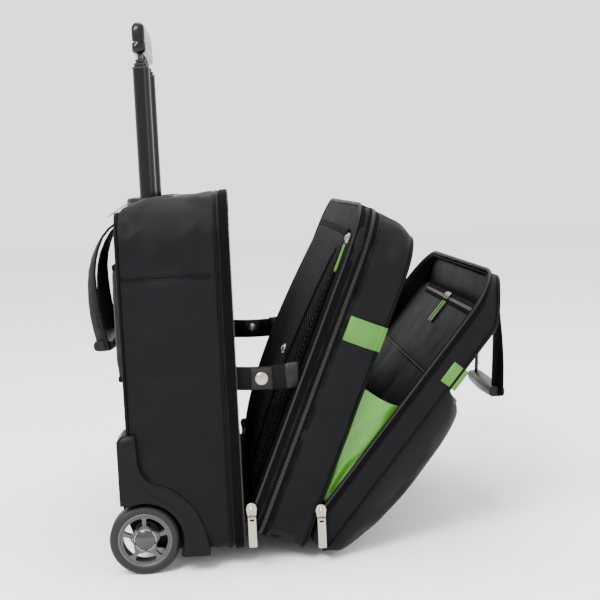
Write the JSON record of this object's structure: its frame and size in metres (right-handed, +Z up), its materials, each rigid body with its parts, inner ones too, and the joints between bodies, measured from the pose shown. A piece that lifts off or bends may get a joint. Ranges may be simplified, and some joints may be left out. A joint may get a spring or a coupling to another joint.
{
  "type": "rolling laptop case",
  "caption": "Soft two-wheeled laptop case standing fanned open, with a telescopic handle, a mesh-fronted laptop compartment, an organiser front, carry handles and zip pulls.",
  "frame": {"origin": "on the floor, under the middle of the opened case's box", "axes": "+Z up, +X forward out of the front compartment, -Y the case's right-hand side"},
  "size_m": [0.4698, 0.4328, 0.5735],
  "materials": {
    "case_fabric": "padded black twill nylon",
    "ballistic_fabric": "coarse black ballistic nylon",
    "trim_tape": "black zip tape and piping",
    "webbing": "woven black webbing",
    "mesh": "open black net",
    "green_fabric": "light green satin",
    "board": "board covered in black lining cloth",
    "foam": "padded grey foam in cloth",
    "housing_plastic": "textured black moulding",
    "black_plastic": "smooth black moulding",
    "tube_lacquer": "aluminium tube with gloss black lacquer",
    "alloy": "plain drawn aluminium",
    "silver_plastic": "satin silver-grey wheel moulding",
    "grey_plastic": "dark grey domed cap",
    "button_plastic": "dark grey button",
    "steel": "plain steel",
    "nickel": "satin nickel plate",
    "tyre": "black rubber",
    "leather": "black leather",
    "green_leather": "green leather tab"
  },
  "bodies": {
    "rear_case": {"back_panel": "case_fabric", "case_band": "case_fabric", "case_boards": "board", "rear_trim": "trim_tape", "wheel_housings": "housing_plastic", "axles": "steel", "housing_screws": "steel", "outer_tubes": "alloy", "tube_base": "black_plastic", "tube_bezel": "black_plastic", "garage_lining": "green_fabric", "garage_rim": "leather", "luggage_sleeve": "case_fabric", "rear_fittings": "nickel", "hinge_web": "case_fabric"},
    "stage_a": {"stage_a_tubes": "tube_lacquer", "stage_a_bushes": "black_plastic"},
    "stage_b": {"stage_b_tubes": "tube_lacquer", "stage_b_bushes": "black_plastic"},
    "stage_c": {"stage_c_tubes": "tube_lacquer", "grip_body": "black_plastic", "grip_necks": "steel"},
    "button": {"release_button": "button_plastic"},
    "wheel_right": {"rim_right": "silver_plastic", "tyre_right": "tyre", "bearings_right": "steel", "hub_cap_right": "grey_plastic"},
    "wheel_left": {"rim_left": "silver_plastic", "tyre_left": "tyre", "bearings_left": "steel", "hub_cap_left": "grey_plastic"},
    "middle": {"middle_rear_panel": "case_fabric", "middle_band": "case_fabric", "middle_front_panel": "case_fabric", "laptop_divider": "foam", "mesh_pocket": "mesh", "middle_trim": "trim_tape", "middle_fittings": "nickel", "stay_straps": "webbing", "strap_snaps": "nickel", "side_gussets": "green_fabric"},
    "front": {"front_band": "case_fabric", "front_panel": "case_fabric", "organiser": "case_fabric", "front_trim": "trim_tape", "front_pocket": "ballistic_fabric", "front_bumper": "black_plastic", "front_fittings": "nickel"},
    "rear_handle": {"rear_handle_webbing": "webbing", "rear_handle_grip": "leather"},
    "front_handle": {"front_handle_webbing": "webbing", "front_handle_grip": "leather"},
    "rear_pull_right": {"rear_pull_right": "nickel"},
    "rear_pull_left": {"rear_pull_left": "nickel"},
    "front_pull_right": {"front_pull_right": "nickel"},
    "front_pull_left": {"front_pull_left": "nickel"},
    "garage_pull": {"garage_pull": "nickel"},
    "middle_pull": {"middle_pull": "green_leather"},
    "organiser_pull_right": {"organiser_pull_right": "green_leather"},
    "organiser_pull_left": {"organiser_pull_left": "green_leather"}
  },
  "joints": [
    {"name": "handle_lower_slide", "type": "slide", "parent": "rear_case", "child": "stage_a", "axis": [0, 0, 1], "range_m": [-0.2, 0]},
    {"name": "handle_middle_slide", "type": "slide", "parent": "stage_a", "child": "stage_b", "axis": [0, 0, 1], "range_m": [0, 0.19]},
    {"name": "handle_upper_slide", "type": "slide", "parent": "stage_b", "child": "stage_c", "axis": [0, 0, 1], "range_m": [0, 0.19]},
    {"name": "release_press", "type": "slide", "parent": "stage_c", "child": "button", "axis": [0, 0, -1], "range_m": [0, 0.004], "stiffness_N_per_m": 400, "springref_m": -0.001},
    {"name": "wheel_right_spin", "type": "hinge", "parent": "rear_case", "child": "wheel_right", "pos_m": [-0.1749, -0.196, 0.036], "axis": [0, 1, 0], "continuous": true},
    {"name": "wheel_left_spin", "type": "hinge", "parent": "rear_case", "child": "wheel_left", "pos_m": [-0.1749, 0.196, 0.036], "axis": [0, 1, 0], "continuous": true},
    {"name": "middle_tilt", "type": "hinge", "parent": "rear_case", "child": "middle", "pos_m": [-0.0739, 0, 0.0415], "axis": [0, 1, 0], "range_deg": [-22.7, 0], "deforming": ["stay_straps", "strap_snaps", "hinge_web"]},
    {"name": "front_tilt", "type": "hinge", "parent": "middle", "child": "front", "pos_m": [0.0068, 0, 0.05977], "axis": [0, 1, 0], "range_deg": [-16.8, 0], "deforming": ["side_gussets"]},
    {"name": "rear_handle_swing", "type": "hinge", "parent": "rear_case", "child": "rear_handle", "pos_m": [-0.1899, 0, 0.361], "axis": [0, 1, 0], "range_deg": [0, 140]},
    {"name": "front_handle_swing", "type": "hinge", "parent": "front", "child": "front_handle", "pos_m": [0.2261, 0, 0.239], "axis": [0, 1, 0], "range_deg": [-120, 28]},
    {"name": "rear_pull_right_swing", "type": "hinge", "parent": "rear_case", "child": "rear_pull_right", "pos_m": [-0.0659, -0.2155, 0.0531], "axis": [1, 0, 0], "range_deg": [-150, 0]},
    {"name": "rear_pull_left_swing", "type": "hinge", "parent": "rear_case", "child": "rear_pull_left", "pos_m": [-0.0659, 0.2155, 0.0531], "axis": [1, 0, 0], "range_deg": [0, 150]},
    {"name": "front_pull_right_swing", "type": "hinge", "parent": "front", "child": "front_pull_right", "pos_m": [0.0046, -0.2135, 0.0471], "axis": [1, 0, 0], "range_deg": [-150, 0]},
    {"name": "front_pull_left_swing", "type": "hinge", "parent": "front", "child": "front_pull_left", "pos_m": [0.0046, 0.2135, 0.0471], "axis": [1, 0, 0], "range_deg": [0, 150]},
    {"name": "garage_pull_swing", "type": "hinge", "parent": "rear_case", "child": "garage_pull", "pos_m": [-0.1893, 0, 0.374], "axis": [0, 1, 0], "range_deg": [0, 80]},
    {"name": "middle_pull_swing", "type": "hinge", "parent": "middle", "child": "middle_pull", "pos_m": [0.04236, 0, 0.32565], "axis": [0, 1, 0], "range_deg": [0, 120]},
    {"name": "organiser_pull_right_swing", "type": "hinge", "parent": "front", "child": "organiser_pull_right", "pos_m": [0.17892, 0, 0.24058], "axis": [0, 1, 0], "range_deg": [0, 95]},
    {"name": "organiser_pull_left_swing", "type": "hinge", "parent": "front", "child": "organiser_pull_left", "pos_m": [0.17892, 0, 0.24058], "axis": [0, 1, 0], "range_deg": [0, 95]}
  ]
}
